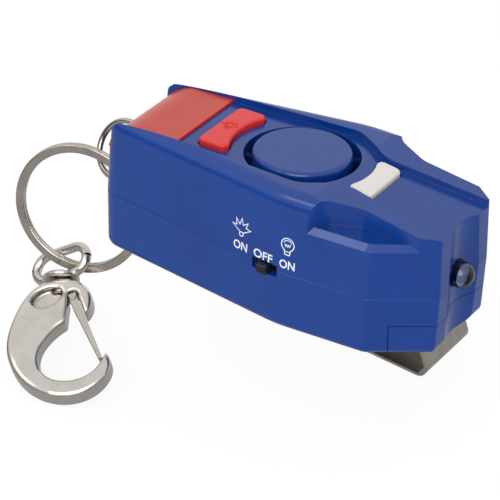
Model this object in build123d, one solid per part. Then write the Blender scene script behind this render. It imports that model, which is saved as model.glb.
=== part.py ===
from build123d import *
import math
import os

# Personal safety alarm: moulded case, siren, strobe, torch, belt clip and keyring chain.
# Millimetres. X runs from the keyring end to the torch end, Z is up through the buttons.
# The origin is on the case's underside, at mid length, inside the belt clip's gap.

# Case, driving sizes
case_length = 71.0
rear_half_width = 10.3
waist_half_width = 17.3
shoulder_half_width = 16.6
nose_half_width = 9.2
waist_x = 6.5
shoulder_x = 24.8
part_z = 11.8
rail_top_z = 27.4
rail_nose_z = 23.4
deck_z = 26.0
deck_nose_z = 22.2
deck_break_x = 12.0
wall = 1.7
thin_wall = 1.2
cut_over = 3.0
fit_gap = 0.12
seam_gap = 0.05
seam_groove = 0.12

# Case, shape
upper_draft = 2.0
lower_draft = 1.5
rear_corner_r = 4.2
waist_r = 26.0
shoulder_r = 3.0
nose_corner_r = 0.8
rail_end_r = 7.0
rail_edge_r = 3.2
bottom_edge_r = 1.6
small_r = 0.5

# Deck between the rails
deck_rear_half = 9.3
deck_bend_x = 7.0
deck_bend_half = 11.6
deck_neck_x = 14.8
deck_neck_half = 6.4
deck_nose_half = 9.1
deck_bend_r = 5.0

# Side pockets
pocket_z = 22.2
pocket_rear_x = 10.0
pocket_in_x = 14.6
pocket_in_half = 13.4
pocket_neck_x = 20.4
pocket_neck_half = 10.9
pocket_nose_half = 11.5
pocket_bend_r = 4.0
pocket_bevel = 1.1

# Front recess and torch
recess_half = 5.8
recess_depth = 1.6
torch_r = 2.5
torch_z = 12.3
torch_base_x = 28.6
torch_centre_x = 34.9
torch_flange_r = 2.9
torch_flange_t = 1.0
lead_r = 0.25
lead_pitch = 2.54
torch_lead_x = 25.4
torch_cup_r = 1.4
torch_cup_l = 1.8

# Siren cover in its slot
siren_x = 1.37
siren_r = 9.2
siren_slot_r = 10.75
siren_top_z = 27.0
siren_top_r = 0.8
siren_cap_t = 1.7
siren_rib_z = 21.1
siren_rib_h = 1.5
siren_rib_w = 1.6
siren_ribs = 6

# Strobe window
lens_front_x = -19.6
lens_top_z = 26.5
lens_t = 1.3
lens_half = 11.0
lens_end_z = 20.8
lens_ledge = 1.4
lens_inset = 0.9

# Buttons
alarm_rear_x = -16.6
alarm_front_x = -9.3
alarm_half = 7.5
alarm_rise = 1.2
alarm_arc_r = 13.4
light_rear_x = 13.4
light_front_x = 18.8
light_half = 6.0
light_rise = 0.8
light_arc_r = 13.6
button_r = 1.2
button_top_r = 0.5
button_gap = 0.25
button_flange = 0.8
button_flange_t = 0.9
button_stem_half = 1.5
alarm_stem_x = -14.3
light_stem_x = 16.9

# Slide switch
switch_x = 4.1
switch_z = 11.6
switch_slot_half = 2.8
switch_slot_h = 2.3
knob_w = 2.1
knob_h = 1.7
knob_out_y = -18.2
switch_wall_y = -14.5
switch_can_l = 7.0
switch_can_w = 2.0
switch_can_h = 3.6

# Ring bar in its notch
notch_half = 4.1
notch_depth = 6.2
notch_top_z = 19.8
notch_arc_r = 5.5
bar_x = -34.1
bar_z = 14.9
bar_r = 0.9

# Battery bay and door
cell_l = 44.5
cell_r = 5.25
cell_tip_r = 1.9
cell_tip_l = 0.9
cell_edge_r = 0.4
cell_rear_x = -19.0
bay_clear = 0.35
bay_stop_z = 2.5
door_t = 1.5
door_rear_half = 10.4
door_bend_x = 0.0
door_split_z = 6.0
door_nose_x = 28.4
door_gap = 0.15
door_rib_w = 0.7
door_lip_w = 0.9
door_lip_t = 0.75
door_lip_rear_x = -2.0
door_lip_front_x = 26.0
contact_t = 0.3
contact_w = 9.0
contact_h = 8.6
contact_room = 1.6
leaf_w = 4.0
leaf_half_h = 2.6

# Inner parts
board_t = 1.2
board_z = 13.3
board_rear_half = 8.8
board_mid_half = 13.4
board_mid_x = 4.0
board_front_half = 11.5
board_rear_x = -26.0
board_front_x = 26.5
post_w = 3.0
post_rear_x = -4.0
post_front_x = 20.0
tact_w = 4.5
tact_base_h = 1.7
tact_h = 2.6
tact_stem_r = 1.2
tact_clear = 0.45
sounder_r = 8.6
sounder_t = 0.5
gasket_in_r = 7.4
gasket_t = 1.2
coil_r = 3.0
coil_core_r = 2.1
coil_flange_t = 0.7
coil_h = 4.2
coil_x = -6.5
coil_y = 6.6
chip_l = 5.0
chip_w = 4.0
chip_h = 1.6
chip_x = 7.5
chip_y = -5.0
strobe_led_r = 1.5
strobe_led_z = 19.4
strobe_led_top_z = 24.7
strobe_led_x = -23.9
strobe_led_y = 6.2
screw_x = -29.2
screw_y = 7.4
screw_head_r = 2.0
screw_head_t = 1.2
screw_r = 0.9
screw_l = 14.0
screw_seat_z = 2.0
boss_r = 2.9

# Belt clip
clip_w = 16.0
clip_t = 0.5
clip_seat = 0.6
clip_root_x = 4.0
clip_top_x = 31.6
clip_front_x = 34.2
clip_low_z = -6.15
clip_kink_x = 11.0
clip_kink_z = -3.5
clip_tip_x = -4.0
clip_tip_z = -0.85
clip_end_x = -7.2
clip_end_z = -2.3
clip_top_r = 1.0
clip_front_r = 1.6
clip_kink_r = 12.0
clip_tip_r = 1.6
stake_r = 1.1
stake_head_r = 1.9
stake_head_t = 0.5
stake_half_pitch = 4.0
stake_x = 14.0

# Small wire ring on the bar
wire_ring_at = (-37.903, 0.219, 14.587)
wire_ring_tilt = 61.63
wire_ring_turn = -104.38
wire_ring_r = 5.51
wire_r = 0.6

# Split key ring
split_ring_at = (-44.986, -3.125, 1.062)
split_ring_tilt = 84.82
split_ring_turn = -79.07
split_ring_r = 12.4
split_ring_w = 1.7
split_turn_t = 0.76
split_edge_r = 0.25

# Snap hook, in its own plane: first number across, second number back towards the eye
hook_at = (-47.40, -4.22, -11.08)
hook_across_share = (0.87107, 0.47587, 0.12156)
hook_normal_share = (0.15935, -0.50792, 0.84654)
hook_t = 4.4
hook_outer_points = [
    (2.0, -13.5),
    (5.1, -11.6),
    (5.5, -8.9),
    (3.6, -5.9),
    (-0.8, -4.6),
    (-5.5, -6.3),
    (-9.4, -12.3),
    (-10.7, -19.4),
    (-8.3, -25.4),
    (-3.3, -29.2),
    (2.6, -29.8),
    (7.8, -26.9),
    (9.4, -23.0),
    (8.4, -20.9),
]
hook_inner_points = [
    (7.5, -22.4),
    (5.4, -25.0),
    (1.2, -26.4),
    (-3.2, -25.0),
    (-4.6, -21.4),
    (-2.6, -16.8),
    (2.0, -13.5),
]
hook_rim_r = 0.8
hook_hole_at = (-3.25, -8.8)
hook_hole_long = 3.2
hook_hole_short = 2.0
hook_hole_turn = 22.0
hook_hole_depth = 1.6
gate_at = (1.75, -8.6)
gate_turn = -68.7
gate_l = 14.4
gate_half = 0.75
gate_tip_half = 0.3
gate_t = 0.4
gate_w = 3.3
gate_swing = 26.0
gate_pin_r = 0.6
gate_gap = 0.2
gate_spring_t = 0.25
gate_spring_l = 5.5
gate_spring_w = 1.6

# Swivel eye
eye_turn = 28.6
eye_x = -0.9
eye_half_w = 7.0
eye_top_y = 3.15
eye_low_y = -4.3
eye_end_r = 3.9
eye_wire_r = 0.95
collar_r = 3.6
collar_t = 0.85
collar_y = -4.45
shank_r = 1.1
shank_head_r = 1.5
shank_head_t = 0.7
shank_l = 2.0

half_length = case_length / 2
rear_x = -half_length
nose_x = half_length
roof_z = rail_top_z + cut_over
rail_fall = (rail_top_z - rail_nose_z) / (nose_x - deck_break_x)
deck_fall = (deck_z - deck_nose_z) / (nose_x - deck_break_x)
cell_front_x = cell_rear_x + cell_l
cell_y = cell_r + bay_clear
cell_z = door_t + bay_clear + cell_r
bay_half = cell_y + cell_r + bay_clear
bay_rear_x = cell_rear_x - contact_room
bay_front_x = cell_front_x + contact_room
inner_nose_x = nose_x - recess_depth - wall
board_top_z = board_z + board_t
across = waist_half_width + cut_over


def mirrored(half_points):
    """Closed list of points: the given side's mirror image in the XZ plane, then the side itself."""
    return [(x, -y) for x, y in half_points] + half_points[::-1]


def plan_face(half_points, radii):
    """Face in XY from half an outline and the radius of each of its corners."""
    path = FilletPolyline(*mirrored(half_points), radius=radii + radii[::-1], close=True)
    return make_face(path)


def plan_solid(half_points, radii, low, high):
    """Upright prism between two heights."""
    return Pos(0, 0, low) * extrude(plan_face(half_points, radii), high - low)


def side_solid(points, radii, half):
    """Prism across the case from an outline in XZ."""
    path = FilletPolyline(*points, radius=radii, close=True)
    face = Plane.XZ * make_face(path)
    return extrude(face, half, both=True)


def box(x0, x1, y0, y1, z0, z1):
    """Box between two corners."""
    return Pos((x0 + x1) / 2, (y0 + y1) / 2, (z0 + z1) / 2) * Box(x1 - x0, y1 - y0, z1 - z0)


def rod(x, y, z0, z1, r):
    """Upright cylinder."""
    return Pos(x, y, (z0 + z1) / 2) * Cylinder(r, z1 - z0)


def rod_x(x0, x1, y, z, r):
    """Cylinder along the case's length."""
    return Pos((x0 + x1) / 2, y, z) * Rot(0, 90, 0) * Cylinder(r, x1 - x0)


def ring_of(x, y, z0, z1, outer_r, inner_r):
    """Upright tube."""
    return rod(x, y, z0, z1, outer_r) - rod(x, y, z0, z1, inner_r)


case_half_points = [
    (rear_x, rear_half_width),
    (waist_x, waist_half_width),
    (shoulder_x, shoulder_half_width),
    (nose_x, nose_half_width),
]
case_radii = [rear_corner_r, waist_r, shoulder_r, nose_corner_r]
case_face = plan_face(case_half_points, case_radii)
inner_face = offset(case_face, -wall)


def deck_height(x):
    """Height of the deck's floor at a station."""
    return deck_z - deck_fall * max(0, x - deck_break_x)


def under_rails():
    """Space under the line of the rails, with the rounded rear end."""
    far = nose_x + cut_over
    low = part_z - cut_over
    points = [
        (rear_x, low),
        (rear_x, rail_top_z),
        (deck_break_x, rail_top_z),
        (far, rail_top_z - rail_fall * (far - deck_break_x)),
        (far, low),
    ]
    return side_solid(points, [0, rail_end_r, 0, 0, 0], across)


def under_deck(drop, rear, end_r):
    """Space under the deck's surface sunk by an amount."""
    far = nose_x + cut_over
    low = -cut_over
    points = [
        (rear, low),
        (rear, deck_z - drop),
        (deck_break_x, deck_z - drop),
        (far, deck_height(far) - drop),
        (far, low),
    ]
    return side_solid(points, [0, end_r, 0, 0, 0], across)


def above_deck():
    """Space over the deck's surface, from the lens forward."""
    far = nose_x + cut_over
    near = lens_front_x - cut_over
    points = [
        (near, deck_z),
        (deck_break_x, deck_z),
        (far, deck_height(far)),
        (far, roof_z),
        (near, roof_z),
    ]
    return side_solid(points, 0, across)


def upper_blank():
    """Solid outer form of the upper shell: drafted sides, rounded rails, rounded rear end."""
    body = Pos(0, 0, part_z) * extrude(case_face, rail_top_z - part_z, taper=upper_draft)
    body = fillet(body.faces().sort_by(Axis.Z)[-1].edges(), rail_edge_r)
    body = chamfer(body.faces().sort_by(Axis.Z)[0].edges(), seam_groove)
    return body & under_rails()


def lower_blank():
    """Solid outer form of the lower shell with its rounded bottom edge."""
    body = Pos(0, 0, part_z) * extrude(case_face, part_z, dir=(0, 0, -1), taper=lower_draft)
    body = fillet(body.faces().sort_by(Axis.Z)[0].edges(), bottom_edge_r)
    return chamfer(body.faces().sort_by(Axis.Z)[-1].edges(), seam_groove)


def lens_form(drop):
    """Solid under the strobe window's outer surface, sunk by an amount."""
    rear = rear_x + drop + lens_inset
    low = lens_end_z - cut_over
    points = [
        (rear, low),
        (rear, lens_top_z - drop),
        (lens_front_x, lens_top_z - drop),
        (lens_front_x, low),
    ]
    return side_solid(points, [0, rail_end_r - drop, 0, 0], lens_half)


def deck_span(inset):
    """Upright prism over the plan between the rails, narrowed by an amount."""
    half_points = [
        (rear_x - cut_over, deck_rear_half - inset),
        (deck_bend_x, deck_bend_half - inset),
        (deck_neck_x, deck_neck_half - inset),
        (nose_x + cut_over, deck_nose_half - inset),
    ]
    return plan_solid(half_points, [0, deck_bend_r, deck_bend_r, 0], part_z, roof_z)


def lens_zone(inset, low):
    """Part of the deck's plan that the strobe window fills."""
    return deck_span(inset) & box(rear_x - cut_over, lens_front_x, -across, across, low, roof_z)


def strobe_lens():
    """Window bent over the rear end, the same thickness all over."""
    skin = lens_form(0) - lens_form(lens_t)
    fit = box(rear_x, lens_front_x - seam_gap, -across, across, lens_end_z + seam_gap, roof_z)
    return skin & lens_zone(seam_gap, lens_end_z) & fit


def deck_cut():
    """Everything removed between the rails, down to the deck and the strobe window."""
    open_deck = (deck_span(0) & above_deck()) - lens_zone(0, part_z)
    over_lens = lens_zone(0, lens_end_z) - lens_form(0)
    return open_deck + over_lens


def lens_seat_cut():
    """Seat for the strobe window and the opening inside its ledge."""
    skin = lens_form(0) - lens_form(lens_t)
    seat = skin & lens_zone(0, lens_end_z)
    opening = lens_form(lens_t) & lens_zone(lens_ledge, lens_end_z + lens_ledge)
    front_ledge = box(lens_front_x - lens_ledge, lens_front_x, -across, across, part_z, roof_z)
    return seat + (opening - front_ledge)


def pocket_form(grow, low):
    """Hand pockets on both sides beside the rails' front halves."""
    points = [
        (pocket_rear_x - grow, across),
        (pocket_in_x - grow, pocket_in_half - grow),
        (pocket_neck_x, pocket_neck_half - grow),
        (nose_x + cut_over, pocket_nose_half - grow),
        (nose_x + cut_over, across),
    ]
    path = FilletPolyline(*points, radius=[0, pocket_bend_r, pocket_bend_r, 0, 0], close=True)
    one = Pos(0, 0, low) * extrude(make_face(path), roof_z - low, dir=(0, 0, 1))
    return one, path


def both_sides(one):
    """A solid and its mirror image across the case."""
    return one + mirror(one, Plane.XZ)


def pocketed(body):
    """Cut both pockets and bevel their floors' outer edges."""
    tool, path = pocket_form(0, pocket_z)
    body = body - both_sides(tool)
    floor_edges = body.edges().filter_by_position(Axis.Z, pocket_z - seam_gap, pocket_z + seam_gap)
    rim = [e for e in floor_edges if abs(e.center().Y) > pocket_neck_half and is_rim(e, path)]
    return chamfer(rim, pocket_bevel)


def is_rim(edge, path):
    """True for an edge of the pocket's floor that isn't at the foot of the rail."""
    middle = edge.position_at(edge.length / 2, position_mode=PositionMode.LENGTH)
    flat = Vertex(middle.X, abs(middle.Y), 0)
    return path.distance_to(flat) > small_r


def recess_tool(low, high):
    """Upright round cutter that leaves the hollow in the nose."""
    r = (recess_half**2 + recess_depth**2) / (2 * recess_depth)
    return rod(nose_x - recess_depth + r, 0, low, high, r)


def upper_cavity():
    """Hollow of the upper shell under the deck, the pockets and the rear end."""
    room = Pos(0, 0, part_z) * extrude(inner_face, roof_z - part_z, taper=upper_draft)
    room = room & under_deck(wall, rear_x + wall, rail_end_r - wall)
    room = room - box(inner_nose_x, nose_x + cut_over, -across, across, part_z, roof_z)
    tool, path = pocket_form(wall, pocket_z - wall)
    return room - both_sides(tool)


def notch_block(low, high):
    """Walls round the ring notch."""
    return box(rear_x, rear_x + notch_depth + wall, -notch_half - wall, notch_half + wall, low, high)


def notch_cut(low, high):
    """Notch in the rear end that the rings swing in."""
    return box(rear_x - cut_over, rear_x + notch_depth, -notch_half, notch_half, low, high)


def swing_room():
    """Round relief in the notch's roof, centred on the bar, that the wire ring turns under."""
    return Pos(bar_x, 0, bar_z) * Rot(90, 0, 0) * Cylinder(notch_arc_r, notch_half * 2)


def screw_points():
    """Places of the two case screws."""
    return [(screw_x, -screw_y), (screw_x, screw_y)]


def upper_bosses(high):
    """Screw bosses beside the notch."""
    return [rod(x, y, part_z, high, boss_r) for x, y in screw_points()]


def siren_cover(shell):
    """Round cover in its slot, carried on ribs inside a cup."""
    cap_in_r = siren_r - siren_cap_t
    cap_z = siren_top_z - siren_cap_t
    cup = rod(siren_x, 0, siren_rib_z, deck_z - wall + seam_gap, siren_slot_r + thin_wall)
    cup = cup - rod(siren_x, 0, siren_rib_z, deck_z, cap_in_r)
    shell = shell + cup
    shell = shell - ring_of(siren_x, 0, siren_rib_z - cut_over, roof_z, siren_slot_r, siren_r)
    shell = shell - rod(siren_x, 0, siren_rib_z, roof_z, cap_in_r)
    disc = rod(siren_x, 0, cap_z, siren_top_z, siren_r)
    disc = disc + ring_of(siren_x, 0, siren_rib_z, cap_z, siren_r, cap_in_r)
    disc = fillet(disc.faces().sort_by(Axis.Z)[-1].edges(), siren_top_r)
    reach = siren_slot_r + thin_wall / 2
    for n in range(siren_ribs):
        rib = box(cap_in_r, reach, -siren_rib_w / 2, siren_rib_w / 2, siren_rib_z, siren_rib_z + siren_rib_h)
        disc = disc + Pos(siren_x, 0, 0) * Rot(0, 0, n * 360 / siren_ribs) * rib
    return shell + disc


def alarm_sketch():
    """Plan of the red button: a rectangle hollowed to stay concentric with the siren cover."""
    middle = (alarm_rear_x + alarm_front_x) / 2
    plan = Pos(middle, 0) * Rectangle(alarm_front_x - alarm_rear_x, alarm_half * 2)
    plan = plan - Pos(siren_x, 0) * Circle(alarm_arc_r)
    return fillet(plan.vertices(), button_r)


def light_sketch():
    """Plan of the white button, hollowed on its rear side."""
    middle = (light_rear_x + light_front_x) / 2
    plan = Pos(middle, 0) * Rectangle(light_front_x - light_rear_x, light_half * 2)
    plan = plan - Pos(siren_x, 0) * Circle(light_arc_r)
    return fillet(plan.vertices(), button_r)


def prism(plan, low, high):
    """Upright prism on a plan."""
    return Pos(0, 0, low) * extrude(plan, high - low)


def button(plan, rise, stem_x):
    """Push button with a rounded cap, a flange under the deck and a stem over its switch."""
    flange_drop = wall + seam_gap
    cap = prism(plan, part_z, roof_z) & under_deck(-rise, rear_x, 0)
    cap = cap - under_deck(flange_drop, rear_x - cut_over, 0)
    cap = fillet(cap.faces().sort_by(Axis.Z)[-1].edges(), button_top_r)
    flange = prism(offset(plan, button_flange), part_z, roof_z) & under_deck(flange_drop, rear_x, 0)
    flange = flange - under_deck(flange_drop + button_flange_t, rear_x - cut_over, 0)
    stem_z = board_top_z + tact_h + tact_clear
    half = button_stem_half
    stem = box(stem_x - half, stem_x + half, -half, half, stem_z, deck_height(stem_x) - wall)
    return cap + flange + stem


def switch_slot(low, high):
    """Slot for the knob, across the parting line on the near side."""
    slot = box(
        switch_x - switch_slot_half,
        switch_x + switch_slot_half,
        -across,
        switch_wall_y,
        switch_z - switch_slot_h / 2,
        switch_z + switch_slot_h / 2,
    )
    return slot & box(rear_x, nose_x, -across, across, low, high)


def torch_hole():
    """Hole for the torch through the nose wall."""
    return rod_x(inner_nose_x - cut_over, nose_x, 0, torch_z, torch_r + fit_gap)


def upper_case():
    """Upper shell with deck, rails, pockets, siren cover on its ribs, lens seat and ring bar."""
    shell = pocketed(upper_blank())
    shell = shell - deck_cut()
    shell = shell - recess_tool(part_z, roof_z)
    room = upper_cavity() - notch_block(part_z, notch_top_z + wall)
    for boss in upper_bosses(notch_top_z + wall):
        room = room - boss
    shell = shell - room - lens_seat_cut()
    shell = siren_cover(shell)
    shell = shell - prism(offset(alarm_sketch(), button_gap), deck_z - wall - cut_over, roof_z)
    shell = shell - prism(offset(light_sketch(), button_gap), pocket_z, roof_z)
    shell = shell - notch_cut(part_z - cut_over, notch_top_z) - swing_room()
    bar = Pos(bar_x, 0, bar_z) * Rot(90, 0, 0) * Cylinder(bar_r, notch_half * 2 + wall)
    shell = shell + bar
    shell = shell - switch_slot(part_z, roof_z) - torch_hole()
    for x, y in screw_points():
        shell = shell - rod(x, y, part_z, screw_seat_z + screw_l + fit_gap, screw_r)
    return shell


def door_plan(grow):
    """Plan of the battery door's plate, narrower at the rear."""
    half_points = [
        (bay_rear_x - grow, door_rear_half + grow),
        (door_bend_x, bay_half + grow),
        (door_nose_x + cut_over, bay_half + grow),
    ]
    return plan_solid(half_points, [button_r, 0, 0], -cut_over, door_t)


def nose_zone(grow):
    """Part of the nose that belongs to the battery door."""
    return box(door_nose_x - grow, nose_x + cut_over, -across, across, -cut_over, door_split_z + grow)


def lower_case():
    """Lower shell with the battery bay, board posts, screw bosses and the door's tracks."""
    shell = lower_blank()
    room = Pos(0, 0, part_z) * extrude(inner_face, part_z - door_t, dir=(0, 0, -1), taper=lower_draft)
    room = room & box(rear_x, inner_nose_x, -across, across, door_t, part_z)
    side = bay_half + thin_wall
    room = room - box(bay_rear_x - thin_wall, door_nose_x - door_gap, -side, side, door_t, part_z)
    room = room - notch_block(0, part_z)
    for x, y in screw_points():
        room = room - rod(x, y, 0, part_z, boss_r)
    shell = shell - room
    shell = shell - box(bay_rear_x, bay_front_x, -bay_half, bay_half, door_t, part_z)
    shell = shell - (door_plan(door_gap) & box(rear_x, door_nose_x, -across, across, -cut_over, door_t))
    track = bay_half + door_lip_w + door_gap
    shell = shell - box(door_lip_rear_x - door_gap, nose_x, -track, track, door_t, bay_stop_z)
    shell = shell - (nose_zone(door_gap) - box(rear_x, door_nose_x, -bay_half, bay_half, bay_stop_z, part_z))
    floor = Pos(0, 0, part_z) * extrude(inner_face, part_z, dir=(0, 0, -1), taper=lower_draft)
    low = door_split_z + door_gap
    floor = floor & box(bay_front_x, inner_nose_x, -across, across, low, low + thin_wall)
    shell = shell + floor - recess_tool(-cut_over, part_z)
    for x in (post_rear_x, post_front_x):
        post = box(x - post_w / 2, x + post_w / 2, bay_half, side, part_z - thin_wall, board_z)
        shell = shell + both_sides(post)
    shell = shell - notch_cut(-cut_over, part_z)
    for x, y in screw_points():
        shell = shell - rod(x, y, -cut_over, screw_seat_z, screw_head_r + fit_gap)
        shell = shell - rod(x, y, 0, part_z, screw_r + fit_gap)
    shell = shell - switch_slot(0, part_z) - torch_hole()
    return shell


def battery_door():
    """Sliding door: bottom plate, hollow nose, side lips, clip seat and the clip's two stakes."""
    blank = lower_blank() - recess_tool(-cut_over, part_z)
    plate = blank & door_plan(0)
    nose = blank & nose_zone(0)
    hollow = Pos(0, 0, part_z) * extrude(inner_face, part_z, dir=(0, 0, -1), taper=lower_draft)
    hollow = hollow & box(0, inner_nose_x, -across, across, door_t, part_z)
    door = plate + (nose - hollow)
    rib_in = bay_half - door_gap - door_rib_w
    lip_out = bay_half + door_lip_w
    low = door_t + seam_gap
    high = low + door_lip_t
    rib = box(door_lip_rear_x, door_lip_front_x, rib_in, bay_half - door_gap, door_t - small_r, high)
    lip = box(door_lip_rear_x, door_lip_front_x, rib_in, lip_out, low, high)
    door = door + both_sides(rib + lip)
    seat_half = clip_w / 2 + fit_gap
    seat = box(clip_root_x - clip_t, clip_top_x + clip_top_r * 2, -seat_half, seat_half, -cut_over, clip_seat)
    door = door - seat
    leg_z = clip_seat - clip_t
    for y in (-stake_half_pitch, stake_half_pitch):
        stake = rod(stake_x, y, leg_z - stake_head_t, clip_seat + small_r, stake_r)
        head = rod(stake_x, y, leg_z - stake_head_t, leg_z, stake_head_r)
        head = fillet(head.faces().sort_by(Axis.Z)[0].edges(), stake_head_t / 2)
        door = door + stake + head
    return door


def belt_clip():
    """Spring strip: leg in the door's seat, front bend, lower leg that rises, and a flared tip."""
    leg_z = clip_seat - clip_t / 2
    path = FilletPolyline(
        (clip_root_x, leg_z),
        (clip_top_x, leg_z),
        (clip_front_x, clip_low_z),
        (clip_kink_x, clip_kink_z),
        (clip_tip_x, clip_tip_z),
        (clip_end_x, clip_end_z),
        radius=[clip_top_r, clip_front_r, clip_kink_r, clip_tip_r],
    )
    ribbon = Plane.XZ * offset(path, clip_t / 2, side=Side.BOTH)
    strip = extrude(make_face(ribbon), clip_w / 2, both=True)
    for y in (-stake_half_pitch, stake_half_pitch):
        strip = strip - rod(stake_x, y, -clip_t, clip_seat + clip_t, stake_r + seam_gap)
    return strip


def switch_knob():
    """Slide knob with a grip rib, in its slot."""
    body = box(
        switch_x - knob_w / 2,
        switch_x + knob_w / 2,
        knob_out_y,
        switch_wall_y - seam_gap,
        switch_z - knob_h / 2,
        switch_z + knob_h / 2,
    )
    return chamfer(body.faces().sort_by(Axis.Y)[0].edges(), small_r / 2)


def switch_housing():
    """Slide switch body under the board's near edge."""
    y1 = switch_wall_y + switch_can_w
    half = switch_can_l / 2
    return box(switch_x - half, switch_x + half, switch_wall_y, y1, board_z - switch_can_h, board_z)


def torch_led():
    """Domed LED with its flange."""
    shaft = rod_x(torch_base_x, torch_centre_x, 0, torch_z, torch_r)
    dome = Pos(torch_centre_x, 0, torch_z) * Sphere(torch_r)
    flange = rod_x(torch_base_x, torch_base_x + torch_flange_t, 0, torch_z, torch_flange_r)
    return shaft + dome + flange - torch_frame_form(seam_gap)


def torch_frame_form(grow):
    """Reflector cup, post and leads of the LED, grown by an amount."""
    r = lead_r + grow
    cup_x = torch_centre_x - torch_cup_l
    frame = rod_x(cup_x - grow, torch_centre_x + grow, 0, torch_z, torch_cup_r + grow)
    half = lead_pitch / 2
    for y in (-half, half):
        frame = frame + rod_x(torch_lead_x, cup_x, y, torch_z, r)
        frame = frame + rod(torch_lead_x, y, torch_z, board_z, r)
        frame = frame + Pos(torch_lead_x, y, torch_z) * Sphere(r)
    return frame


def tact(x):
    """Tact switch with its round plunger."""
    half = tact_w / 2
    base = box(x - half, x + half, -half, half, board_top_z, board_top_z + tact_base_h)
    return base + rod(x, 0, board_top_z, board_top_z + tact_h, tact_stem_r)


def pcb():
    """Circuit board that follows the case's plan."""
    half_points = [
        (board_rear_x, board_rear_half),
        (board_mid_x, board_mid_half),
        (board_front_x, board_front_half),
    ]
    return plan_solid(half_points, [small_r, small_r, small_r], board_z, board_top_z)


def boost_coil():
    """Drum core coil."""
    low = board_top_z
    high = low + coil_h
    drum = rod(coil_x, coil_y, low, low + coil_flange_t, coil_r)
    drum = drum + rod(coil_x, coil_y, high - coil_flange_t, high, coil_r)
    return drum + rod(coil_x, coil_y, low, high, (coil_r + coil_core_r) / 2)


def strobe_leds():
    """Two red LEDs on their leads under the window."""
    leds = []
    for side in (-strobe_led_y, strobe_led_y):
        dome_z = strobe_led_top_z - strobe_led_r
        led = rod(strobe_led_x, side, strobe_led_z, dome_z, strobe_led_r)
        led = led + Pos(strobe_led_x, side, dome_z) * Sphere(strobe_led_r)
        for y in (side - lead_pitch / 2 + lead_r, side + lead_pitch / 2 - lead_r):
            led = led + rod(strobe_led_x, y, board_top_z, strobe_led_z + small_r, lead_r)
        leds.append(led)
    return Compound(children=leds)


def siren_gasket():
    """Foam ring between the cover's ribs and the sounder."""
    return ring_of(siren_x, 0, siren_rib_z - gasket_t, siren_rib_z, sounder_r, gasket_in_r)


def siren_disc():
    """Brass sounder disc."""
    high = siren_rib_z - gasket_t
    return rod(siren_x, 0, high - sounder_t, high, sounder_r)


def battery(y, tip_forward):
    """AAA cell with its tip at either end."""
    body_l = cell_l - cell_tip_l
    start = cell_rear_x if tip_forward else cell_rear_x + cell_tip_l
    body = rod_x(start, start + body_l, y, cell_z, cell_r)
    body = fillet(body.edges().filter_by(GeomType.CIRCLE), cell_edge_r)
    tip_x = start + body_l if tip_forward else cell_rear_x
    return body + rod_x(tip_x, tip_x + cell_tip_l, y, cell_z, cell_tip_r)


def leaf(wall_x, side, y):
    """Bowed leaf of a battery contact, bulging from its plate to the cell."""
    bulge = contact_room - contact_t
    r = (leaf_half_h**2 + bulge**2) / (2 * bulge)
    plate_x = wall_x - side * contact_t
    centre_x = plate_x - side * (bulge - r)
    bow = Pos(centre_x, y, cell_z) * Rot(90, 0, 0) * (Cylinder(r, leaf_w) - Cylinder(r - contact_t, leaf_w))
    far = plate_x - side * contact_room
    return bow & box(min(plate_x, far), max(plate_x, far), y - leaf_w, y + leaf_w, 0, part_z)


def contact_plate(wall_x, side, y0, y1):
    """Flat part of a battery contact against the bay's end wall."""
    inner = wall_x - side * contact_t
    low = cell_z - contact_h / 2
    return box(min(wall_x, inner), max(wall_x, inner), y0, y1, low, low + contact_h)


def contact_front():
    """Bridge contact that joins the two cells."""
    half = cell_y + contact_w / 2
    plate = contact_plate(bay_front_x, 1, -half, half)
    return plate + leaf(bay_front_x, 1, -cell_y) + leaf(bay_front_x, 1, cell_y)


def contact_rear():
    """Two single contacts."""
    parts = []
    for y in (-cell_y, cell_y):
        plate = contact_plate(bay_rear_x, -1, y - contact_w / 2, y + contact_w / 2)
        parts.append(plate + leaf(bay_rear_x, -1, y))
    return Compound(children=parts)


def case_screws():
    """Two screws from below that join the shells."""
    screws = []
    for x, y in screw_points():
        head = rod(x, y, screw_seat_z - screw_head_t, screw_seat_z, screw_head_r)
        screws.append(head + rod(x, y, screw_seat_z, screw_seat_z + screw_l, screw_r))
    return Compound(children=screws)


def ring_plane(at, tilt, turn):
    """Plane of a ring from its centre and the direction of its axis."""
    polar = math.radians(tilt)
    round_z = math.radians(turn)
    flat = math.sin(polar)
    normal = (flat * math.cos(round_z), flat * math.sin(round_z), math.cos(polar))
    return Plane(origin=at, z_dir=normal)


def wire_ring():
    """Closed ring of round wire on the case's bar."""
    return ring_plane(wire_ring_at, wire_ring_tilt, wire_ring_turn) * Torus(wire_ring_r, wire_r)


def split_ring():
    """Key ring: two flat turns one on the other, with the seam between them."""
    turns = []
    for side in (-1, 1):
        middle = side * split_turn_t / 2
        plan = Pos(split_ring_r, middle) * RectangleRounded(split_ring_w, split_turn_t, split_edge_r)
        turns.append(revolve(Plane.XZ * plan, Axis.Z))
    core = Pos(split_ring_r, 0) * Rectangle(split_ring_w - split_edge_r * 2, split_turn_t)
    ring = turns[0] + turns[1] + revolve(Plane.XZ * core, Axis.Z)
    return ring_plane(split_ring_at, split_ring_tilt, split_ring_turn) * ring


hook_plane = Plane(origin=hook_at, x_dir=hook_across_share, z_dir=hook_normal_share)
gate_frame = Pos(gate_at[0], gate_at[1], 0) * Rot(0, 0, gate_turn)


def hook_prism(sketch, half):
    """Prism centred on the hook's plane."""
    return extrude(sketch, half, both=True)


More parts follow.
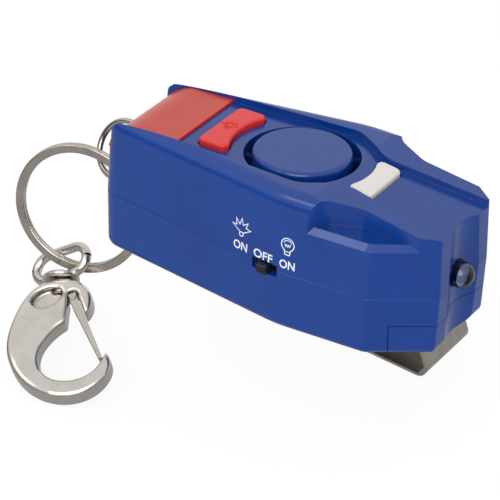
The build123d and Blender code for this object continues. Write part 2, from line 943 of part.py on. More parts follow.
def gate_sweep():
    """Plan swept by the gate between its closed and open positions."""
    root = gate_half + gate_gap
    closed = Pos(gate_l / 2, 0) * Rectangle(gate_l, root * 2)
    plan = Circle(root + gate_gap) + closed
    steps = 4
    for n in range(1, steps + 1):
        plan = plan + Rot(0, 0, -gate_swing * n / steps) * closed
    return gate_frame * plan


def hook_body():
    """Cast hook with rounded rims, a dished oval, lanes for the gate and a bore for the swivel."""
    outer = Spline(*hook_outer_points)
    tip = Line(hook_outer_points[-1], hook_inner_points[0])
    inner = Spline(*hook_inner_points)
    body = hook_prism(make_face([outer, tip, inner]), hook_t / 2)
    rims = body.faces().filter_by(Plane.XY).edges()
    body = fillet(rims, hook_rim_r)
    dish = Pos(*hook_hole_at) * Rot(0, 0, hook_hole_turn) * Ellipse(hook_hole_long, hook_hole_short)
    floor = hook_t / 2 - hook_hole_depth
    for side in (-1, 1):
        body = body - extrude(Pos(0, 0, side * floor) * dish, side * hook_t)
    tang = (gate_w - gate_t * 2) / 2 - seam_gap
    lane = hook_prism(gate_sweep(), hook_t) - hook_prism(gate_tang_plan(), tang)
    body = body - lane
    pin_hole = gate_frame * Cylinder(gate_pin_r, hook_t * 2)
    body = body - pin_hole
    body = body - swivel_rod(shank_r + fit_gap, collar_y - shank_l, collar_y + collar_t)
    head_y = collar_y - shank_l
    return body - swivel_rod(shank_head_r + fit_gap, head_y - shank_head_t - fit_gap, head_y + fit_gap)


def gate_tang_plan():
    """Plan of the tang that the gate straddles."""
    reach = gate_half * 2
    return gate_frame * (Circle(gate_half) + Pos(-reach, 0) * Rectangle(reach * 2, gate_half * 2))


def swivel_rod(r, low, high):
    """Rod along the swivel's axis in the hook's plane."""
    return Pos(eye_x, (low + high) / 2, 0) * Rot(90, 0, 0) * Cylinder(r, high - low)


def hook_gate():
    """Gate folded from sheet: spine outside, two flanges that straddle the tang."""
    points = [
        (-gate_half, -gate_half),
        (gate_half * 2, -gate_half),
        (gate_l, gate_half - gate_tip_half * 2),
        (gate_l, gate_half),
        (-gate_half, gate_half),
    ]
    plan = make_face(Polyline(*points, close=True))
    gate = hook_prism(plan, gate_w / 2)
    inside = gate_w / 2 - gate_t
    far = gate_l + cut_over
    gate = gate - box(-cut_over, far, -cut_over, gate_half - gate_t, -inside, inside)
    root = gate_half * 2
    gate = gate - box(-cut_over, root, -cut_over, cut_over, -inside, inside)
    gate = gate - Cylinder(gate_pin_r + seam_gap, hook_t * 2)
    return gate_frame * gate


def gate_pin():
    """Rivet through the tang and both flanges."""
    return gate_frame * Cylinder(gate_pin_r, gate_w + gate_t)


def gate_spring():
    """Leaf from the tang along the inside of the gate's spine."""
    y = gate_half - gate_t - gate_spring_t
    half = gate_spring_w / 2
    strip = box(gate_half, gate_half + gate_spring_l, y, y + gate_spring_t, -half, half)
    return gate_frame * strip


def swivel_eye():
    """Oval eye with a collar, and a shank riveted inside the hook."""
    r = eye_wire_r
    left = eye_x - eye_half_w + r
    right = eye_x + eye_half_w - r
    top = eye_top_y - r
    low = eye_low_y + r
    bend = eye_end_r - r
    path = FilletPolyline((left, low), (right, low), (right, top), (left, top), radius=bend, close=True)
    section = Plane(origin=(eye_x, top, 0), x_dir=(0, 1, 0), z_dir=(1, 0, 0)) * Circle(r)
    loop = sweep(section, path)
    collar = swivel_rod(collar_r, collar_y, collar_y + collar_t)
    stem = swivel_rod(shank_r, collar_y - shank_l, collar_y + collar_t)
    head = swivel_rod(shank_head_r, collar_y - shank_l - shank_head_t, collar_y - shank_l)
    turn = Pos(eye_x, 0, 0) * Rot(0, -eye_turn, 0) * Pos(-eye_x, 0, 0)
    return turn * (loop + collar + stem + head)


parts = {
    "upper_case": upper_case(),
    "lower_case": lower_case(),
    "battery_door": battery_door(),
    "strobe_lens": strobe_lens(),
    "alarm_button": button(alarm_sketch(), alarm_rise, alarm_stem_x),
    "light_button": button(light_sketch(), light_rise, light_stem_x),
    "switch_knob": switch_knob(),
    "torch_led": torch_led(),
    "torch_frame": torch_frame_form(0),
    "belt_clip": belt_clip(),
    "wire_ring": wire_ring(),
    "split_ring": split_ring(),
    "swivel_eye": hook_plane * swivel_eye(),
    "hook_body": hook_plane * hook_body(),
    "hook_gate": hook_plane * hook_gate(),
    "gate_pin": hook_plane * gate_pin(),
    "gate_spring": hook_plane * gate_spring(),
    "pcb": pcb(),
    "switch_housing": switch_housing(),
    "alarm_tact": tact(alarm_stem_x),
    "light_tact": tact(light_stem_x),
    "siren_disc": siren_disc(),
    "siren_gasket": siren_gasket(),
    "boost_coil": boost_coil(),
    "driver_chip": box(
        chip_x - chip_l / 2, chip_x + chip_l / 2, chip_y - chip_w / 2, chip_y + chip_w / 2, board_top_z, board_top_z + chip_h
    ),
    "strobe_leds": strobe_leds(),
    "battery_a": battery(-cell_y, True),
    "battery_b": battery(cell_y, False),
    "contact_front": contact_front(),
    "contact_rear": contact_rear(),
    "case_screws": case_screws(),
}

os.makedirs("parts", exist_ok=True)
for name, solid in parts.items():
    export_step(solid, f"parts/{name}.step")
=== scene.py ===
import math
import bpy
import numpy as np
from mathutils import Matrix, Vector


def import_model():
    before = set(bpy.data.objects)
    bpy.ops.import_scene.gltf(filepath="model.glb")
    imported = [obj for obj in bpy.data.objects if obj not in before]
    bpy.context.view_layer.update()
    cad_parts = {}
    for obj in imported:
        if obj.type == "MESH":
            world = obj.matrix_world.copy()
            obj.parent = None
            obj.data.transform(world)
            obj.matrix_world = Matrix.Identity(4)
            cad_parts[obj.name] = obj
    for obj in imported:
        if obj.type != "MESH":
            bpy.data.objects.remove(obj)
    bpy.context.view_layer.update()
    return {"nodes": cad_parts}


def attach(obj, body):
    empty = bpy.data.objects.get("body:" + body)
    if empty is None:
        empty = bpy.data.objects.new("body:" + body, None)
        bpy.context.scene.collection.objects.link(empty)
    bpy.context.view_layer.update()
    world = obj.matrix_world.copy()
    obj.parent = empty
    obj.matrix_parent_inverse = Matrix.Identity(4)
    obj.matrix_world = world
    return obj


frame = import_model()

# Personal safety alarm on a key ring: finishes, printed legend, light, floor and camera.
# Metres, in the frame of the CAD: X to the torch end, Z up through the buttons.
# Flat drawings are in millimetres until surface_object makes meshes of them.

mm = 0.001


# Nodes and colours


def colour(code):
    """sRGB hex as linear RGBA."""
    parts = np.array([int(code[i : i + 2], 16) for i in (1, 3, 5)]) / 255
    linear = np.where(parts <= 0.04045, parts / 12.92, ((parts + 0.055) / 1.055) ** 2.4)
    return (*linear.tolist(), 1.0)


def add(tree, kind, inputs=None, **settings):
    """Adds one shader node with its settings. An input takes a value, a socket, or a node's first output."""
    made = tree.nodes.new("ShaderNode" + kind)
    for key, value in settings.items():
        setattr(made, key, value)
    for key, value in (inputs or {}).items():
        if isinstance(value, bpy.types.Node):
            value = next(socket for socket in value.outputs if socket.enabled)
        if isinstance(value, bpy.types.NodeSocket):
            tree.links.new(value, made.inputs[key])
        else:
            made.inputs[key].default_value = value
    return made


def new_material(name):
    """An empty node tree under a new name."""
    made = bpy.data.materials.new(name)
    made.use_nodes = True
    made.node_tree.nodes.clear()
    return made, made.node_tree


# A noise mostly stays between these two values, so each pattern is stretched from them.
noise_span = {"From Min": 0.3, "From Max": 0.7}


# Plastics
# The real grit and the ink's pinholes are finer, and are drawn just coarse enough to show.

abs_flow = 9 * mm
abs_peel = 0.6 * mm
abs_grit = 0.12 * mm
peel_depth = 0.012 * mm
plastic_edge = 0.16 * mm


def moulded_abs(name, first, second, gloss):
    """ABS from a polished tool: an even gloss, with flow marks a few millimetres wide, a faint orange peel
    and a soft highlight on every edge."""
    made, tree = new_material(name)
    place = add(tree, "TexCoord").outputs["Object"]
    flow = add(tree, "TexNoise", {"Vector": place, "Scale": 1 / abs_flow, "Detail": 3.0, "Roughness": 0.5})
    peel = add(tree, "TexNoise", {"Vector": place, "Scale": 1 / abs_peel, "Detail": 2.0, "Roughness": 0.45})
    grit = add(tree, "TexNoise", {"Vector": place, "Scale": 1 / abs_grit, "Detail": 2.0, "Roughness": 0.6})
    share = add(tree, "MapRange", {"Value": flow, **noise_span})
    tint = add(tree, "Mix", {"Factor": share, "A": colour(first), "B": colour(second)}, data_type="RGBA")
    gloss_ends = {"To Min": gloss - 0.04, "To Max": gloss + 0.05}
    rough = add(tree, "MapRange", {"Value": grit, **noise_span, **gloss_ends})
    edge = add(tree, "Bevel", {"Radius": plastic_edge}, samples=4)
    bump = add(tree, "Bump", {"Strength": 0.35, "Distance": peel_depth, "Height": peel, "Normal": edge})
    look = {"Base Color": tint, "Roughness": rough, "IOR": 1.54, "Normal": bump}
    add(tree, "OutputMaterial", {"Surface": add(tree, "BsdfPrincipled", look)})
    return made


nylon_grain = 0.2 * mm
nylon_grain_depth = 0.02 * mm


def black_nylon():
    """Moulded nylon: dull, with a coarse matt grain from the tool."""
    made, tree = new_material("black_nylon")
    place = add(tree, "TexCoord").outputs["Object"]
    grain = add(tree, "TexNoise", {"Vector": place, "Scale": 1 / nylon_grain, "Detail": 3.0})
    share = add(tree, "MapRange", {"Value": grain, **noise_span})
    tones = {"A": colour("#101012"), "B": colour("#1b1b1d")}
    tint = add(tree, "Mix", {"Factor": share, **tones}, data_type="RGBA")
    rough = add(tree, "MapRange", {"Value": grain, **noise_span, "To Min": 0.42, "To Max": 0.6})
    bump = add(tree, "Bump", {"Strength": 0.5, "Distance": nylon_grain_depth, "Height": grain})
    look = {"Base Color": tint, "Roughness": rough, "IOR": 1.53, "Normal": bump}
    add(tree, "OutputMaterial", {"Surface": add(tree, "BsdfPrincipled", look)})
    return made


window_cloud = 6 * mm
window_peel = 0.5 * mm
# Where along X the front edge and the tail get their painted glow, and how strong the tail's is
painted_glow_front_span = (-20.5 * mm, -19.9 * mm)
painted_glow_tail_span = (-28.5 * mm, -34.5 * mm)
painted_tail_glow_share = 0.8


def red_window():
    """Tinted polycarbonate: clear, but filled with a little diffuser, so that light spreads inside it. Its
    cut front edge and its bent tail are painted brighter, a painted glow of light through them, and the two
    ranges along X say where these are."""
    made, tree = new_material("coral_polycarbonate")
    place = add(tree, "TexCoord").outputs["Object"]
    along = add(tree, "SeparateXYZ", {"Vector": place}).outputs["X"]
    cloud_looks = {"Scale": 1 / window_cloud, "Detail": 2.5, "Roughness": 0.5}
    cloud = add(tree, "TexNoise", {"Vector": place, **cloud_looks})
    peel = add(tree, "TexNoise", {"Vector": place, "Scale": 1 / window_peel, "Detail": 2.0})
    share = add(tree, "MapRange", {"Value": cloud, **noise_span})
    tones = {"A": colour("#de4a37"), "B": colour("#d64432")}
    tint = add(tree, "Mix", {"Factor": share, **tones}, data_type="RGBA")
    # Painted glow: the front edge and the tail are mixed towards a brighter red, standing in for light coming
    # through them.
    painted_front_glow = add(tree, "MapRange", {"Value": along, "From Min": painted_glow_front_span[0], "From Max": painted_glow_front_span[1]})
    tint = add(tree, "Mix", {"Factor": painted_front_glow, "A": tint, "B": colour("#f8330f")}, data_type="RGBA")
    tail_ends = {"From Min": painted_glow_tail_span[0], "From Max": painted_glow_tail_span[1], "To Max": painted_tail_glow_share}
    painted_tail_glow = add(tree, "MapRange", {"Value": along, **tail_ends})
    tint = add(tree, "Mix", {"Factor": painted_tail_glow, "A": tint, "B": colour("#f04a2e")}, data_type="RGBA")
    rough = add(tree, "MapRange", {"Value": cloud, **noise_span, "To Min": 0.26, "To Max": 0.36})
    edge = add(tree, "Bevel", {"Radius": plastic_edge}, samples=4)
    bump = add(tree, "Bump", {"Strength": 0.3, "Distance": peel_depth, "Height": peel, "Normal": edge})
    look = {"Base Color": tint, "Roughness": rough, "IOR": 1.585, "Transmission Weight": 0.26, "Normal": bump}
    add(tree, "OutputMaterial", {"Surface": add(tree, "BsdfPrincipled", look)})
    return made


epoxy_wave = 1.2 * mm
epoxy_wave_depth = 0.01 * mm


def cast_epoxy(name, code, gloss):
    """Cast epoxy of a lamp: polished like glass, with the faintest unevenness of the mould."""
    made, tree = new_material(name)
    place = add(tree, "TexCoord").outputs["Object"]
    wave = add(tree, "TexNoise", {"Vector": place, "Scale": 1 / epoxy_wave, "Detail": 1.0})
    rough = add(tree, "MapRange", {"Value": wave, **noise_span, "To Min": gloss, "To Max": gloss + 0.03})
    bump = add(tree, "Bump", {"Strength": 0.15, "Distance": epoxy_wave_depth, "Height": wave})
    glass = {"IOR": 1.54, "Transmission Weight": 1.0}
    look = {"Base Color": colour(code), "Roughness": rough, "Normal": bump, **glass}
    add(tree, "OutputMaterial", {"Surface": add(tree, "BsdfPrincipled", look)})
    return made


ink_speck = 0.1 * mm


def printed_white():
    """Pad-printed ink: thin and matt, with pinholes where the blue of the case tints it."""
    made, tree = new_material("white_pad_ink")
    place = add(tree, "TexCoord").outputs["Object"]
    speck = add(tree, "TexNoise", {"Vector": place, "Scale": 1 / ink_speck, "Detail": 2.0})
    share = add(tree, "MapRange", {"Value": speck, "From Min": 0.35, "From Max": 0.6})
    tones = {"A": colour("#c9d4ee"), "B": colour("#f3f5fb")}
    tint = add(tree, "Mix", {"Factor": share, **tones}, data_type="RGBA")
    rough = add(tree, "MapRange", {"Value": speck, **noise_span, "To Min": 0.45, "To Max": 0.6})
    look = {"Base Color": tint, "Roughness": rough, "IOR": 1.5}
    add(tree, "OutputMaterial", {"Surface": add(tree, "BsdfPrincipled", look)})
    return made


# Metals
# The real hairlines are finer, and are drawn just coarse enough to show.

nickel_cloud = 3.5 * mm
# Reach and colour of the painted shade in hollows
painted_shade_reach = 1.6 * mm
painted_shade_tone = "#6d675f"


def plated(name, first, second, low, high, wave=1.4, mark=0.18, dent=0.012, stretch=(1, 1, 1), turn=0.12):
    """Bright nickel over a cast or drawn base: a mirror with slow waves, hairline marks, cloudy spots where
    fingers dull it, and painted shade darkening its hollows. Wave, mark, dent and turn are the waves' width,
    the marks' width, the waves' depth and the edges' rounding in mm, and low and high are the ends of the
    roughness."""
    made, tree = new_material(name)
    place = add(tree, "TexCoord").outputs["Object"]
    place = add(tree, "Mapping", {"Vector": place, "Scale": stretch})
    cloud_looks = {"Scale": 1 / nickel_cloud, "Detail": 3.0, "Roughness": 0.6}
    cloud = add(tree, "TexNoise", {"Vector": place, **cloud_looks})
    swell = add(tree, "TexNoise", {"Vector": place, "Scale": 1 / (wave * mm), "Detail": 1.5})
    hair = add(tree, "TexNoise", {"Vector": place, "Scale": 1 / (mark * mm), "Detail": 2.0, "Roughness": 0.7})
    share = add(tree, "MapRange", {"Value": cloud, **noise_span})
    tint = add(tree, "Mix", {"Factor": share, "A": colour(first), "B": colour(second)}, data_type="RGBA")
    # Painted shade: ambient occlusion blends the tint towards a grey brown in hollows and creases, where
    # shade falls.
    unshaded_share = add(tree, "AmbientOcclusion", {"Distance": painted_shade_reach}, samples=8, only_local=True)
    unshaded_share = add(tree, "MapRange", {"Value": unshaded_share.outputs["AO"], "From Min": 0.25, "From Max": 0.85})
    tint = add(tree, "Mix", {"Factor": unshaded_share, "A": colour(painted_shade_tone), "B": tint}, data_type="RGBA")
    haze = add(tree, "MapRange", {"Value": cloud, **noise_span, "To Min": low, "To Max": high})
    rub = add(tree, "MapRange", {"Value": hair, **noise_span, "To Min": -0.03, "To Max": 0.05})
    rough = add(tree, "Math", {0: haze, 1: rub}, operation="ADD")
    edge = add(tree, "Bevel", {"Radius": turn * mm}, samples=8)
    bump = add(tree, "Bump", {"Strength": 0.5, "Distance": dent * mm, "Height": swell, "Normal": edge})
    look = {"Base Color": tint, "Metallic": 1.0, "Roughness": rough, "Normal": bump}
    add(tree, "OutputMaterial", {"Surface": add(tree, "BsdfPrincipled", look)})
    return made


# Inner parts


def dull(name, first, second, grain, low, high, metallic=0.0, depth=0.02):
    """Plain inner material: two tones and an uneven gloss over a grain of a width and depth in mm. Low and
    high are the ends of the roughness."""
    made, tree = new_material(name)
    place = add(tree, "TexCoord").outputs["Object"]
    speck_looks = {"Scale": 1 / (grain * mm), "Detail": 3.0, "Roughness": 0.6}
    speck = add(tree, "TexNoise", {"Vector": place, **speck_looks})
    share = add(tree, "MapRange", {"Value": speck, **noise_span})
    tint = add(tree, "Mix", {"Factor": share, "A": colour(first), "B": colour(second)}, data_type="RGBA")
    rough = add(tree, "MapRange", {"Value": speck, **noise_span, "To Min": low, "To Max": high})
    bump = add(tree, "Bump", {"Strength": 0.4, "Distance": depth * mm, "Height": speck})
    look = {"Base Color": tint, "Metallic": metallic, "Roughness": rough, "Normal": bump}
    add(tree, "OutputMaterial", {"Surface": add(tree, "BsdfPrincipled", look)})
    return made


# Finishes of the pieces

blue_abs = moulded_abs("royal_blue_abs", "#083b8c", "#063684", gloss=0.20)
red_abs = moulded_abs("signal_red_abs", "#e3302d", "#dd2c2a", gloss=0.26)
white_abs = moulded_abs("warm_white_abs", "#e2e0d9", "#dddad2", gloss=0.34)
ink = printed_white()

# The casting is the smoothest and has the roundest edges, the ring's flat steel is scuffed by keys, and
# the clip's strip keeps the lines of its rolling along it.
cast_nickel = plated("nickel_plated_zinc", "#dcd6cf", "#cfc9c1", 0.07, 0.14, wave=2.6, dent=0.02, turn=1.2)
drawn_nickel = plated("nickel_plated_wire", "#d0cac2", "#bfb8af", 0.10, 0.20)
ring_nickel = plated("nickel_plated_ring_steel", "#c8c1b8", "#b8b0a6", 0.14, 0.24)
sheet_nickel = plated("nickel_plated_sheet", "#d2ccc4", "#c3bcb3", 0.10, 0.18)
clip_steel = plated("bright_spring_steel", "#b9b4ac", "#a8a299", 0.18, 0.30, mark=0.1, stretch=(0.25, 2, 1))
# The lead frame is painted dark navy: painted shade of its deep recess, with the tint of the smoky epoxy it
# is seen through painted into its colour.
lead_frame_painted_dark = plated("lead_frame_painted_shade", "#2b3452", "#1f2742", 0.28, 0.40)

# Bought parts inside: pressed metal has a soft shine, moulded and sintered parts are nearly matt, and the
# foam's cells are deep enough to see.
tact_plastic = dull("black_switch_plastic", "#1c1c1e", "#28282a", 0.3, 0.45, 0.6)
cell_jacket = dull("cell_jacket_steel", "#8f9298", "#a3a6ac", 0.8, 0.25, 0.35, metallic=1.0)
contact_strip = dull("nickel_contact_strip", "#bcb8b0", "#aaa69e", 0.5, 0.2, 0.32, metallic=1.0)

finishes = {
    "upper_case": blue_abs,
    "lower_case": blue_abs,
    "battery_door": blue_abs,
    "strobe_lens": red_window(),
    "alarm_button": red_abs,
    "light_button": white_abs,
    "switch_knob": black_nylon(),
    "torch_led": cast_epoxy("smoky_cast_epoxy", "#66739a", gloss=0.02),
    "torch_frame": lead_frame_painted_dark,
    "belt_clip": clip_steel,
    "wire_ring": drawn_nickel,
    "split_ring": ring_nickel,
    "swivel_eye": cast_nickel,
    "hook_body": cast_nickel,
    "hook_gate": sheet_nickel,
    "gate_pin": sheet_nickel,
    "gate_spring": clip_steel,
    "pcb": dull("green_glass_epoxy", "#1f5a3a", "#276b45", 0.5, 0.35, 0.5),
    "switch_housing": dull("stamped_switch_steel", "#b9b9b6", "#a4a4a1", 0.4, 0.28, 0.42, metallic=1.0),
    "alarm_tact": tact_plastic,
    "light_tact": tact_plastic,
    "siren_disc": dull("brass_sounder_disc", "#c9a95e", "#b8964c", 0.6, 0.25, 0.4, metallic=1.0),
    "siren_gasket": dull("grey_foam", "#6b6d70", "#7c7e81", 0.35, 0.85, 0.95, depth=0.15),
    "boost_coil": dull("sintered_ferrite", "#3a3836", "#4a4744", 0.25, 0.6, 0.75),
    "driver_chip": dull("black_mould_compound", "#202022", "#2b2b2d", 0.12, 0.55, 0.7),
    "strobe_leds": cast_epoxy("red_cast_epoxy", "#d8433a", gloss=0.05),
    "battery_a": cell_jacket,
    "battery_b": cell_jacket,
    "contact_front": contact_strip,
    "contact_rear": contact_strip,
    "case_screws": dull("zinc_plated_screw", "#a9adb3", "#969aa0", 0.3, 0.25, 0.4, metallic=1.0),
}
for node, made in finishes.items():
    thing = frame["nodes"][node]
    thing.data.materials.clear()
    thing.data.materials.append(made)


# Flat lines and meshes


def surface_object(name, points, faces, made, body):
    """Mesh object from points in mm and faces, at the origin, riding on a body."""
    mesh = bpy.data.meshes.new(name)
    mesh.from_pydata((np.asarray(points) * mm).tolist(), [], np.asarray(faces).tolist())
    mesh.materials.append(made)
    thing = bpy.data.objects.new(name, mesh)
    bpy.context.scene.collection.objects.link(thing)
    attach(thing, body)
    return thing


def joined(strips):
    """Several meshes as one: points under points, with each one's faces counted on from the last."""
    points = [strip[0] for strip in strips]
    starts = np.cumsum([0] + [len(some) for some in points[:-1]])
    faces = [strip[1] + start for strip, start in zip(strips, starts)]
    return np.vstack(points), np.vstack(faces)


mitre_limit = 2.2
tiny = 1e-6


def ribbon(path, width, closed=False):
    """Flat line of an even width along a path: each point gives two, moved to both sides along the mitre
    of its two runs by half the width over the cosine of half their turn."""
    path = np.asarray(path, float)
    before = np.roll(path, 1, 0) if closed else np.vstack([2 * path[:1] - path[1:2], path[:-1]])
    after = np.roll(path, -1, 0) if closed else np.vstack([path[1:], 2 * path[-1:] - path[-2:-1]])
    run_in = (path - before) / np.linalg.norm(path - before, axis=1, keepdims=True)
    run_out = (after - path) / np.linalg.norm(after - path, axis=1, keepdims=True)
    side_in = np.stack([-run_in[:, 1], run_in[:, 0]], 1)
    side_out = np.stack([-run_out[:, 1], run_out[:, 0]], 1)
    mitre = side_in + side_out
    mitre = mitre / np.maximum(np.linalg.norm(mitre, axis=1, keepdims=True), tiny)
    cosine = (mitre * side_in).sum(1, keepdims=True)
    reach = np.clip(1 / np.maximum(cosine, tiny), 1, mitre_limit) * width / 2
    points = np.vstack([path + mitre * reach, path - mitre * reach])
    count = len(path)
    first = np.arange(count if closed else count - 1)
    second = (first + 1) % count
    return points, np.stack([first, first + count, second + count, second], 1)


def circle(centre, r, start=0.0, turn=360.0, steps=36):
    """Points round an arc: the centre plus the radius times the cosine and sine of even steps of angle,
    in degrees."""
    angle = np.radians(start + np.linspace(0, turn, steps, endpoint=turn < 360))
    return np.stack([centre[0] + r * np.cos(angle), centre[1] + r * np.sin(angle)], 1)


def rays(tips, dips, left_foot, right_foot):
    """Zigzag from the left foot to each tip in turn, back to each dip between two tips, and to the right
    foot."""
    line = np.empty((len(tips) + len(dips), 2))
    line[0::2] = tips
    line[1::2] = dips
    return np.vstack([left_foot, line, right_foot])


# Legend on the side wall beside the switch
# The wall's plan is two straight runs joined by the waist's arc, drafted inwards with height. The values
# are the case's own, in mm. The letters are emboldened by a share of the font's size.

rear_end = (-35.5, 10.3)
waist = (6.5, 17.3)
shoulder = (24.8, 16.6)
waist_r = 26.0
seam_z = 11.8
draft = math.tan(math.radians(2.0))
ink_lift = 0.02
line_w = 0.2
thin_w = 0.16
capital_h = 1.72
letter_steps = 4
letter_bold_share = 0.018


def side_wall(x, z):
    """Y of the near wall in mm: the rear line, the waist's arc or the front line, moved in by the draft
    times the height over the seam."""
    rear_turn = math.atan2(waist[1] - rear_end[1], waist[0] - rear_end[0])
    front_turn = math.atan2(shoulder[1] - waist[1], shoulder[0] - waist[0])
    reach = waist_r * math.tan((rear_turn - front_turn) / 2)
    start = (waist[0] - reach * math.cos(rear_turn), waist[1] - reach * math.sin(rear_turn))
    end_x = waist[0] + reach * math.cos(front_turn)
    centre = (start[0] + waist_r * math.sin(rear_turn), start[1] - waist_r * math.cos(rear_turn))
    inward = (z - seam_z) * draft
    rear = start[1] + (x - start[0]) * math.tan(rear_turn) - inward / math.cos(rear_turn)
    front = waist[1] + (x - waist[0]) * math.tan(front_turn) - inward / math.cos(front_turn)
    arc = centre[1] + np.sqrt(np.maximum((waist_r - inward) ** 2 - (x - centre[0]) ** 2, 0))
    return -np.where(x < start[0], rear, np.where(x > end_x, front, arc))


def on_wall(flat):
    """Flat points (x, z) in mm become points on the near wall, lifted by the ink's thickness."""
    x, z = np.asarray(flat, float).T
    return np.stack([x, side_wall(x, z) - ink_lift, z], 1)


def printed_sign(name, lines):
    """One object of several flat lines laid on the near wall."""
    points, faces = joined(lines)
    surface_object(name, on_wall(points), faces, ink, "case")


def printed_word(name, text, centre_x, foot_z, width):
    """A word as a flat mesh, scaled to its width and capital height, then laid on the near wall."""
    curve = bpy.data.curves.new(name, "FONT")
    curve.body = text
    curve.resolution_u = letter_steps
    curve.offset = letter_bold_share
    holder = bpy.data.objects.new(name + "_curve", curve)
    bpy.context.scene.collection.objects.link(holder)
    bpy.context.view_layer.update()
    mesh = bpy.data.meshes.new_from_object(holder.evaluated_get(bpy.context.evaluated_depsgraph_get()))
    bpy.data.objects.remove(holder)
    bpy.data.curves.remove(curve)
    flat = np.empty(len(mesh.vertices) * 3)
    mesh.vertices.foreach_get("co", flat)
    flat = flat.reshape(-1, 3)[:, :2]
    low, high = flat.min(0), flat.max(0)
    flat = (flat - low) / (high - low) * (width, capital_h) + (centre_x - width / 2, foot_z)
    mesh.vertices.foreach_set("co", (on_wall(flat) * mm).ravel())
    mesh.name = name
    mesh.materials.clear()
    mesh.materials.append(ink)
    thing = bpy.data.objects.new(name, mesh)
    bpy.context.scene.collection.objects.link(thing)
    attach(thing, "case")


def siren_sign():
    """A small ring under a zigzag of five rays."""
    foot, ring_r = (-1.52, 16.0), 0.42
    tips = [(-3.62, 17.55), (-2.80, 18.85), (-1.50, 19.15), (-0.10, 18.60), (0.62, 17.35)]
    dips = [(-2.66, 17.55), (-1.95, 17.85), (-1.15, 17.90), (-0.48, 17.50)]
    zigzag = rays(tips, dips, (-1.86, 16.42), (-1.10, 16.32))
    printed_sign("sign_siren", [ribbon(zigzag, line_w), ribbon(circle(foot, ring_r), line_w, True)])


def torch_sign():
    """A bulb whose round glass runs down to a flat foot, with a line over the foot, a glint inside the
    glass and a filament."""
    bulb, bulb_r, glint_r = (8.80, 17.75), 1.28, 0.86
    glass = circle(bulb, bulb_r, start=-62, turn=304, steps=40)
    foot_left, foot_right, foot_z, collar_z = 8.32, 9.28, 15.72, 16.35
    lows = [(8.42, 17.35), (8.82, 17.35), (9.22, 17.35)]
    highs = [(8.62, 17.75), (9.02, 17.75)]
    filament = rays(lows, highs, (8.22, 17.85), (9.38, 17.85))
    lines = [
        ribbon(np.vstack([glass, (foot_left, foot_z), (foot_right, foot_z)]), line_w, True),
        ribbon(circle(bulb, glint_r, start=20, turn=140, steps=14), thin_w),
        ribbon(filament, thin_w),
        ribbon([(foot_left, collar_z), (foot_right, collar_z)], thin_w),
    ]
    printed_sign("sign_torch", lines)


# Each word's text, centre along X, foot and width in mm
words = {
    "legend_siren_on": ("ON", -1.57, 12.78, 3.15),
    "legend_off": ("OFF", 3.68, 12.86, 4.30),
    "legend_torch_on": ("ON", 8.92, 12.86, 3.15),
}
for name, (text, centre_x, foot_z, width) in words.items():
    printed_word(name, text, centre_x, foot_z, width)
siren_sign()
torch_sign()


# Relief on the red button

button_top = 27.2
relief_at = np.array((-14.35, 0.15))
relief_rise = 0.12
relief_root = 0.1
relief_w = 0.2
relief_ring_r = 0.36


def raised(line, low, high):
    """Closed flat line as a ridge: its two rims at the high level, then at the low one, and for each run a
    top, a floor, an outer wall and an inner wall."""
    flat, top = line
    count = len(flat)
    half = count // 2
    points = np.vstack([np.column_stack([flat, np.full(count, level)]) for level in (high, low)])
    first, second = top[:, 0], top[:, 3]
    under = top[:, ::-1] + count
    outer = np.stack([first, second, second + count, first + count], 1)
    inner = np.stack([second, first, first + count, second + count], 1) + half
    return points, np.vstack([top, under, outer, inner])


def button_relief():
    """The siren sign again, smaller and moulded on the button: a closed zigzag over a small ring."""
    tips = [(-1.65, 0.1), (-1.05, 1.15), (0.0, 1.5), (1.05, 1.15), (1.65, 0.1)]
    dips = [(-0.8, 0.2), (-0.35, 0.5), (0.35, 0.5), (0.8, 0.2)]
    zigzag = rays(tips, dips, (-0.4, -0.6), (0.4, -0.6)) + relief_at
    ring = circle(relief_at - (0.0, 1.0), relief_ring_r)
    ridges = [
        raised(ribbon(line, relief_w, True), button_top - relief_root, button_top + relief_rise)
        for line in (zigzag, ring)
    ]
    points, faces = joined(ridges)
    surface_object("button_relief", points, faces, red_abs, "alarm_key")


button_relief()


# Floor, light and camera
# Metres. The floor lies just under the hook's lowest point.

floor_half = 4.0
floor_z = -28.6 * mm
camera_share = 0.8
floor_white = 1.06
patch_at = (-0.050, -0.082, 0.0)


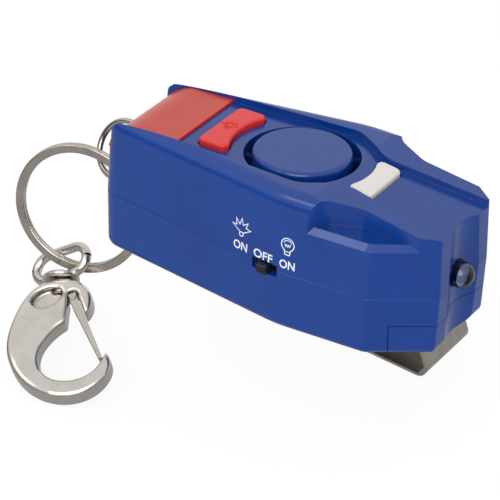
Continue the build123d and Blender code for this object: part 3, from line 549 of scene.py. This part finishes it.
def floor():
    """White floor, a flat square. The camera sees plain white with a share of real shadow. Shiny parts see it
    lighter behind than in front and dimmer past the torch end, with one soft dark patch in front of the hook."""
    made, tree = new_material("white_floor")
    ray = add(tree, "LightPath").outputs
    seen = add(tree, "Math", {0: ray["Is Camera Ray"], 1: ray["Is Glossy Ray"]}, operation="MAXIMUM")
    seen = add(tree, "Math", {0: seen, 1: ray["Is Transmission Ray"]}, operation="MAXIMUM")
    share = add(tree, "Math", {0: seen, 1: camera_share}, operation="MULTIPLY")
    place = add(tree, "TexCoord").outputs["Object"]
    axis = add(tree, "SeparateXYZ", {"Vector": place}).outputs
    from_patch = add(tree, "VectorMath", {0: place, 1: patch_at}, operation="DISTANCE")
    # Front to back, along the torch end, and out from the middle of the dark patch
    ramps = [
        {"Value": axis["Y"], "From Min": -0.02, "From Max": 0.10, "To Min": 0.34, "To Max": 0.85},
        {"Value": axis["X"], "From Min": 0.0, "From Max": 0.09, "To Min": 1.0, "To Max": 0.5},
        {"Value": from_patch, "From Min": 0.007, "From Max": 0.028, "To Min": 0.25, "To Max": 1.0},
    ]
    back, side, patch = [add(tree, "MapRange", ramp, interpolation_type="SMOOTHSTEP") for ramp in ramps]
    shine = add(tree, "Math", {0: back, 1: side}, operation="MULTIPLY")
    shine = add(tree, "Math", {0: shine, 1: patch}, operation="MULTIPLY")
    levels = {"A": floor_white, "B": shine}
    level = add(tree, "Mix", {"Factor": ray["Is Glossy Ray"], **levels}, data_type="FLOAT")
    paper = add(tree, "BsdfDiffuse", {"Color": colour("#f4f4f3")})
    white = add(tree, "Emission", {"Color": (1, 1, 1, 1), "Strength": level})
    mixed = add(tree, "MixShader", {0: share, 1: paper, 2: white})
    add(tree, "OutputMaterial", {"Surface": mixed})
    corners = [(x * floor_half, y * floor_half, floor_z) for x, y in ((-1, -1), (1, -1), (1, 1), (-1, 1))]
    mesh = bpy.data.meshes.new("floor")
    mesh.from_pydata(corners, [], [(0, 1, 2, 3)])
    mesh.materials.append(made)
    thing = bpy.data.objects.new("floor", mesh)
    bpy.context.scene.collection.objects.link(thing)


room_light = 0.72


def world():
    """Soft room: even light for matt surfaces, light behind and above but dim in front for shiny ones, and
    plain white where the camera looks at it."""
    studio = bpy.data.worlds.new("studio")
    studio.use_nodes = True
    tree = studio.node_tree
    tree.nodes.clear()
    ray = add(tree, "LightPath").outputs
    way = add(tree, "TexCoord").outputs["Generated"]
    axis = add(tree, "SeparateXYZ", {"Vector": way}).outputs
    # Front to back, and from level upwards
    ramps = [
        {"Value": axis["Y"], "From Min": -0.15, "From Max": 0.55, "To Min": 0.10, "To Max": 0.80},
        {"Value": axis["Z"], "From Min": 0.22, "From Max": 0.46, "To Min": 0.05, "To Max": 0.85},
    ]
    behind, above = [add(tree, "MapRange", ramp, interpolation_type="SMOOTHSTEP") for ramp in ramps]
    shine = add(tree, "Math", {0: behind, 1: above}, operation="MAXIMUM")
    levels = {"A": room_light, "B": shine}
    level = add(tree, "Mix", {"Factor": ray["Is Glossy Ray"], **levels}, data_type="FLOAT")
    level = add(tree, "Math", {0: level, 1: ray["Is Camera Ray"]}, operation="MAXIMUM")
    sky = add(tree, "Background", {"Color": (1, 1, 1, 1), "Strength": level})
    add(tree, "OutputWorld", {"Surface": sky})
    bpy.context.scene.world = studio


def softbox(name, place, size, power):
    """Square area lamp, turned to the origin."""
    lamp = bpy.data.lights.new(name, "AREA")
    lamp.shape = "SQUARE"
    lamp.size = size
    lamp.energy = power
    thing = bpy.data.objects.new(name, lamp)
    bpy.context.scene.collection.objects.link(thing)
    thing.location = place
    thing.rotation_euler = (-Vector(place)).to_track_quat("-Z", "Y").to_euler()


sensor_width = 36.0
lens_length = 211.48
near_clip = 0.01
camera_aim = Vector((-8.789, -0.049, 2.541)) * mm
camera_distance = 548 * mm
camera_turn = math.radians(-59.7207)
camera_rise = math.radians(30.5208)
camera_roll = math.radians(2.3829)


def camera():
    """The photograph's view: a long lens from the torch end's near side. The turn is from the X axis, the
    rise from level, and the roll about the line of sight."""
    lens = bpy.data.cameras.new("camera")
    lens.sensor_width = sensor_width
    lens.lens = lens_length
    lens.clip_start = near_clip
    quarter = math.pi / 2
    turn = Matrix.Rotation(camera_turn + quarter, 4, "Z") @ Matrix.Rotation(quarter - camera_rise, 4, "X")
    turn = turn @ Matrix.Rotation(camera_roll, 4, "Z")
    thing = bpy.data.objects.new("camera", lens)
    bpy.context.scene.collection.objects.link(thing)
    thing.matrix_world = Matrix.Translation(camera_aim) @ turn @ Matrix.Translation((0, 0, camera_distance))
    bpy.context.scene.camera = thing


floor()
world()
softbox("front_box", place=(0.25, -0.75, 0.60), size=0.7, power=4.6)
softbox("near_box", place=(-0.34, -0.44, 0.70), size=0.2, power=0.35)
camera()
bpy.context.scene.view_settings.view_transform = "Standard"
